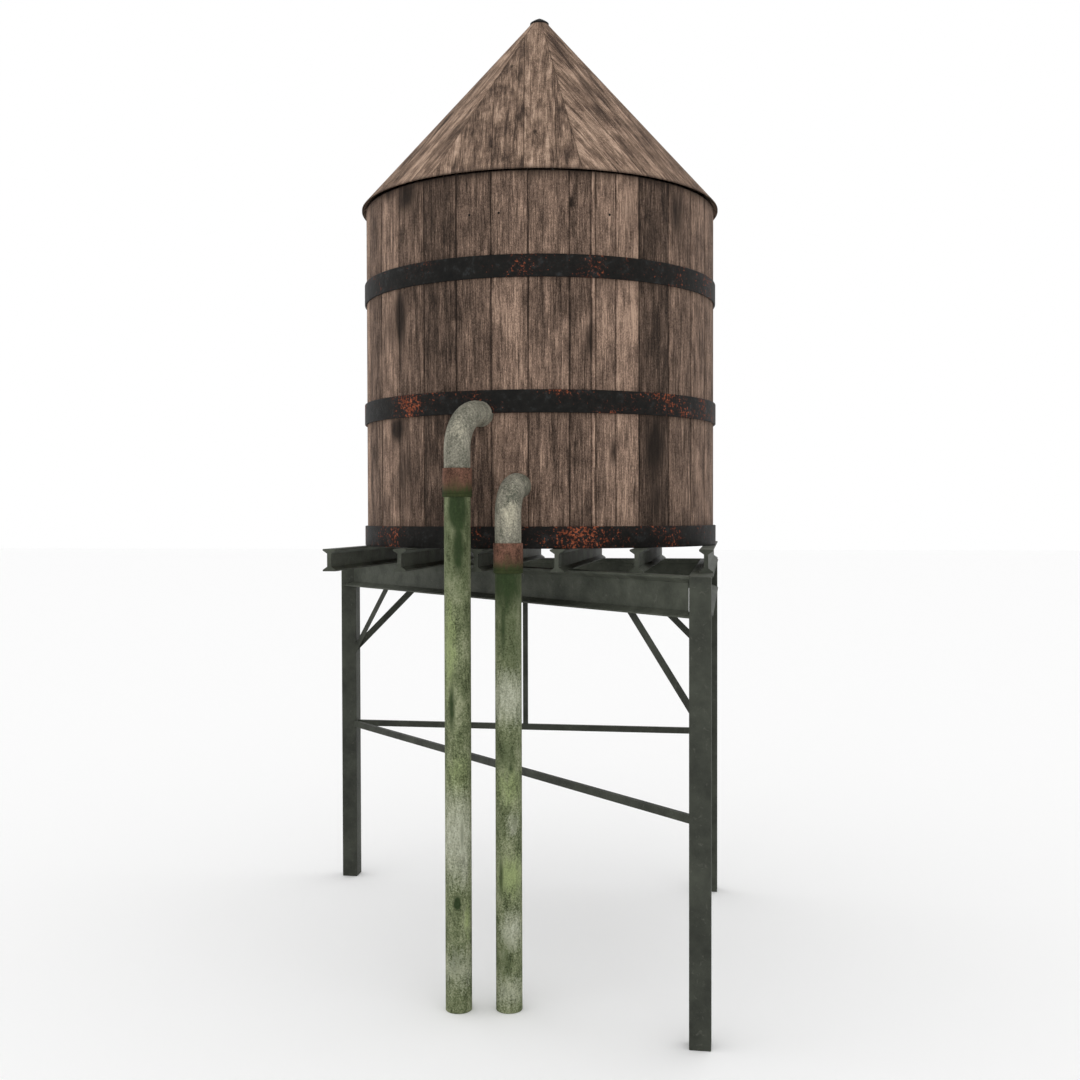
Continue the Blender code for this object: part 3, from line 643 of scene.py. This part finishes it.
def turned(profile, centre, sides, closed=False):
    """Spins a (radius, height) outline right round an upright line."""
    bm = bmesh.new()
    points = [bm.verts.new(centre + Vector((radius, 0, z))) for radius, z in profile]
    lines = [bm.edges.new(pair) for pair in zip(points, points[1:] + points[:1] * closed)]
    bmesh.ops.spin(bm, geom=points + lines, cent=centre, axis=(0, 0, 1), angle=2 * math.pi, steps=sides,
                   use_merge=True)
    return bm


def round_a_pipe(foot):
    """Degrees round a pipe from the camera's side, and height."""
    def place_of(co):
        turn = math.degrees(math.atan2(co.y - foot.y, co.x - foot.x) - FRONT)
        return (turn + 180) % 360 - 180, co.z
    return place_of


print("pipes are", round(2000 * PIPE_RADIUS), "mm across")

# %% Say where things grow on the risers
# Each spot: degrees round from the front, height, half width, half height, strength
GROWTH = {
    "left": {"moss_and_shade": ((5, 4.55, 75, 0.35, 1.7), (8, 4.2, 50, 0.5, 1.2), (0, 4.2, 200, 0.9, 0.5),
                      (-24, 2.78, 26, 0.42, 1.0), (-10, 3.05, 45, 0.1, 0.6), (45, 3.6, 35, 0.35, 0.45),
                      (-2, 1.0, 26, 0.085, 2.2), (20, 1.62, 16, 0.28, 0.6), (-10, 0.5, 60, 0.38, 0.4),
                      (35, 2.9, 40, 0.25, 0.35), (160, 3.0, 70, 1.2, 0.5)),
             "lime": ((-35, 3.3, 60, 0.8, 0.9), (0, 2.15, 120, 0.4, 0.6), (45, 0.85, 35, 0.35, 0.8)),
             "chalk": ((0, 1.6, 200, 0.75, 0.95), (30, 1.35, 60, 0.45, 0.8), (0, 0.4, 200, 0.4, 0.6),
                       (-70, 2.6, 40, 0.5, 0.3))},
    "right": {"moss_and_shade": ((-10, 3.9, 200, 0.6, 1.1), (-22, 3.5, 30, 0.6, 0.9), (0, 3.5, 200, 0.5, 0.5),
                       (20, 3.25, 90, 0.4, 0.5), (-10, 2.35, 110, 0.28, 0.45), (10, 2.22, 18, 0.09, 0.9),
                       (-35, 1.25, 22, 0.33, 0.9), (-20, 0.5, 80, 0.4, 0.45), (30, 1.75, 20, 0.2, 0.5),
                       (170, 2.4, 70, 1.0, 0.5)),
              "lime": ((10, 1.25, 120, 0.34, 1.0), (0, 2.05, 120, 0.3, 0.7)),
              "chalk": ((0, 2.85, 200, 0.45, 0.9), (20, 0.75, 120, 0.35, 0.8), (25, 1.7, 80, 0.25, 0.6),
                        (0, 0.2, 200, 0.3, 0.6))}}
print({side: sum(map(len, growth.values())) for side, growth in GROWTH.items()}, "spots of growth")

# %% Turn a riser
FOOT_EDGE, RISER_RINGS, OVERLAP = 0.003, 90, 0.01  # the rings are close, so that the spots stay round


def turn_riser(side):
    """An upright tube from the ground into its coupling, with its growths."""
    foot, coupling_low = PIPES[side][:2]
    top = coupling_low + OVERLAP
    heights = [FOOT_EDGE + (top - FOOT_EDGE) * i / RISER_RINGS for i in range(RISER_RINGS + 1)]
    bm = turned([(0, 0), (PIPE_RADIUS - FOOT_EDGE, 0)] + [(PIPE_RADIUS, z) for z in heights] + [(0, top)],
                foot, PIPE_SIDES)
    for growth, spots in GROWTH[side].items():
        paint_spots(bm, growth, spots, round_a_pipe(foot))
    make_piece(bm, "riser_" + side + "_pipe", riser_paint, ["riser_" + side])


print("a riser has a ring every", round(1000 * PIPES["left"][1] / RISER_RINGS), "mm")

# %% Turn a coupling
EDGE, EDGE_MIDDLE, GROOVE = 0.006, 0.002, 0.003


def turn_coupling(side):
    """A cast sleeve with rounded ends and one groove, mossy at its lower end."""
    foot, low, high = PIPES[side][:3]
    bm = turned([(COUPLING_BORE, low), (COUPLING_RADIUS - EDGE, low),
                 (COUPLING_RADIUS - EDGE_MIDDLE, low + EDGE_MIDDLE),
                 (COUPLING_RADIUS, low + EDGE), (COUPLING_RADIUS, low + 0.028),
                 (COUPLING_RADIUS - GROOVE, low + 0.032), (COUPLING_RADIUS, low + 0.036),
                 (COUPLING_RADIUS, low + 0.09), (COUPLING_RADIUS, low + 0.14), (COUPLING_RADIUS, high - EDGE),
                 (COUPLING_RADIUS - EDGE_MIDDLE, high - EDGE_MIDDLE), (COUPLING_RADIUS - EDGE, high),
                 (COUPLING_BORE, high)], foot, PIPE_SIDES, closed=True)
    paint_spots(bm, "moss_and_shade", ((0, low - 0.03, 4000, 0.24, 1.3), (0, low + 0.12, 45, 0.12, 0.6)),
                round_a_pipe(foot))
    make_piece(bm, "coupling_" + side + "_sleeve", coupling_rust, ["coupling_" + side])


print("couplings are", round(1000 * (COUPLING_RADIUS - PIPE_RADIUS), 1), "mm proud of the pipes")

# %% Bend an elbow
BEND_STEPS, INTO_WALL, SEAT = 18, 0.13, 0.02
ELBOW_CHALK = {"left": (0.1, 0.5), "right": (0.0, 0.85)}  # how far above its middle, and how strong


def bend_elbow(side):
    """One circle lifted out of its coupling, spun through a quarter turn and pushed into the wall."""
    foot, _, coupling_high, entry, bend, towards = PIPES[side]
    bm = bmesh.new()
    ring = bmesh.ops.create_circle(bm, segments=PIPE_SIDES, radius=PIPE_RADIUS)["verts"]
    bmesh.ops.translate(bm, verts=ring, vec=foot + Vector((0, 0, coupling_high - SEAT)))
    lifted = bmesh.ops.extrude_edge_only(bm, edges=bm.edges[:])["geom"]
    ring = [g for g in lifted if isinstance(g, bmesh.types.BMVert)]
    bmesh.ops.translate(bm, verts=ring, vec=(0, 0, entry - bend - coupling_high + SEAT))
    loop = [g for g in lifted if isinstance(g, bmesh.types.BMEdge)
            and all(abs(v.co.z - (entry - bend)) < 1e-4 for v in g.verts)]
    centre = foot + towards * bend + Vector((0, 0, entry - bend))
    spun = bmesh.ops.spin(bm, geom=ring + loop, cent=centre, axis=Vector((0, 0, 1)).cross(towards),
                          angle=math.pi / 2, steps=BEND_STEPS)["geom_last"]
    loop = [g for g in spun if isinstance(g, bmesh.types.BMEdge)]
    pushed = bmesh.ops.extrude_edge_only(bm, edges=loop)["geom"]
    pushed = [g for g in pushed if isinstance(g, bmesh.types.BMVert)]
    bmesh.ops.translate(bm, verts=pushed, vec=towards * INTO_WALL)
    bmesh.ops.holes_fill(bm, edges=bm.edges[:], sides=0)
    rise, strength = ELBOW_CHALK[side]
    paint_spots(bm, "chalk", ((10, (coupling_high + entry) / 2 + rise, 90, 0.22, strength),
                              (0, entry, 200, 0.2, 0.35)), round_a_pipe(foot))
    # Painted shade where the bend meets the staves, carried by the moss channel: metres out from the wall, and
    # height
    paint_spots(bm, "moss_and_shade", ((0, entry, 0.1, 0.5, 0.9),),
                lambda co: (math.hypot(co.x - TANK_AXIS.x, co.y - TANK_AXIS.y) - STAVE_FACE, co.z))
    make_piece(bm, "elbow_" + side + "_bend", elbow_paint, ["elbow_" + side])


print("an elbow turns in steps of", 90 / BEND_STEPS, "degrees")

# %% Make both pipes
for side in PIPES:
    turn_riser(side)
    turn_coupling(side)
    bend_elbow(side)

# %% [markdown]
# ## The steel stand
# The stand is rolled steel under a grey-green paint that has gone chalky. Its solids could be
# modelled again with rounded edges, but rolled sections are crisp at this distance, so they stay
# as they are and only get a new paint.

# %% Paint the steel
def steel_paint(name, dull, fresh, bare):
    """Old grey-green paint on rolled steel: matt, patchy, with slight ripples where it lifts."""
    made = bpy.data.materials.new(name)
    made.use_nodes = True
    tree = made.node_tree
    shader = tree.nodes["Principled BSDF"]
    place = add(tree, "TexCoord").outputs["Object"]
    cloud = add(tree, "TexNoise", {"Vector": place, "Scale": 3.2, "Detail": 6, "Roughness": 0.65})
    flake = add(tree, "TexNoise", {"Vector": place, "Scale": 17, "Detail": 5, "Roughness": 0.68,
                                   "Distortion": 0.8})
    coat = add(tree, "ValToRGB", {"Fac": cloud.outputs["Fac"]})
    coat.color_ramp.elements[0].position, coat.color_ramp.elements[0].color = 0.34, colour(dull)
    coat.color_ramp.elements[1].position, coat.color_ramp.elements[1].color = 0.68, colour(fresh)
    worn = add(tree, "MapRange", {"Value": flake.outputs["Fac"], "From Min": 0.6, "From Max": 0.72,
                                  "To Min": 0, "To Max": 0.6})
    skin = add(tree, "Mix", {0: worn.outputs["Result"], 6: coat.outputs["Color"], 7: colour(bare)},
               data_type="RGBA")
    tree.links.new(skin.outputs[2], shader.inputs["Base Color"])
    shader.inputs["Roughness"].default_value = 0.6
    shader.inputs["Specular IOR Level"].default_value = 0.2
    bump = add(tree, "Bump", {"Height": flake.outputs["Fac"], "Strength": 0.8, "Distance": 0.01})
    tree.links.new(bump.outputs["Normal"], shader.inputs["Normal"])
    return made


stand_paint = steel_paint("chalky grey-green paint on rolled steel", "2b2d27", "43463d", "5a5a52")
# The beams and joists get a lighter copy of the same paint: painted light, lifting them where the tank shades
# them
beam_paint_with_painted_light = steel_paint("grey-green paint on rolled beams", "34372f", "52554b", "66665e")
STAND = [name for name in frame["nodes"] if name.startswith(("leg_", "joist", "brace"))
         or name.endswith(("_beam", "_tie", "_hanger"))]
for name in STAND:
    solid = frame["nodes"][name]
    solid.data.materials.clear()
    is_beam = name.endswith("_beam") or name.startswith("joist")
    solid.data.materials.append(beam_paint_with_painted_light if is_beam else stand_paint)
print(len(STAND), "steel solids painted")

# %% The tank's floor boards stay as they are, in old cedar
floor_cedar = bpy.data.materials.new("cedar floor boards")
floor_cedar.use_nodes = True
tree = floor_cedar.node_tree
place = add(tree, "TexCoord").outputs["Object"]
stretched = add(tree, "Mapping", {"Vector": place, "Scale": (60, 2, 2)})
lines = add(tree, "TexNoise", {"Vector": stretched.outputs["Vector"], "Scale": 1, "Detail": 4})
shades = add(tree, "ValToRGB", {"Fac": lines.outputs["Fac"]})
shades.color_ramp.elements[0].color = colour("2b231e")
shades.color_ramp.elements[1].color = colour("5a4a3f")
tree.links.new(shades.outputs["Color"], tree.nodes["Principled BSDF"].inputs["Base Color"])
tree.nodes["Principled BSDF"].inputs["Roughness"].default_value = 0.9
frame["nodes"]["tank_floor"].data.materials.clear()
frame["nodes"]["tank_floor"].data.materials.append(floor_cedar)
left_plain = sorted(name for name, solid in frame["nodes"].items()
                    if not solid.hide_render and name not in STAND and name != "tank_floor")
print("solids still in plain colours:", left_plain)
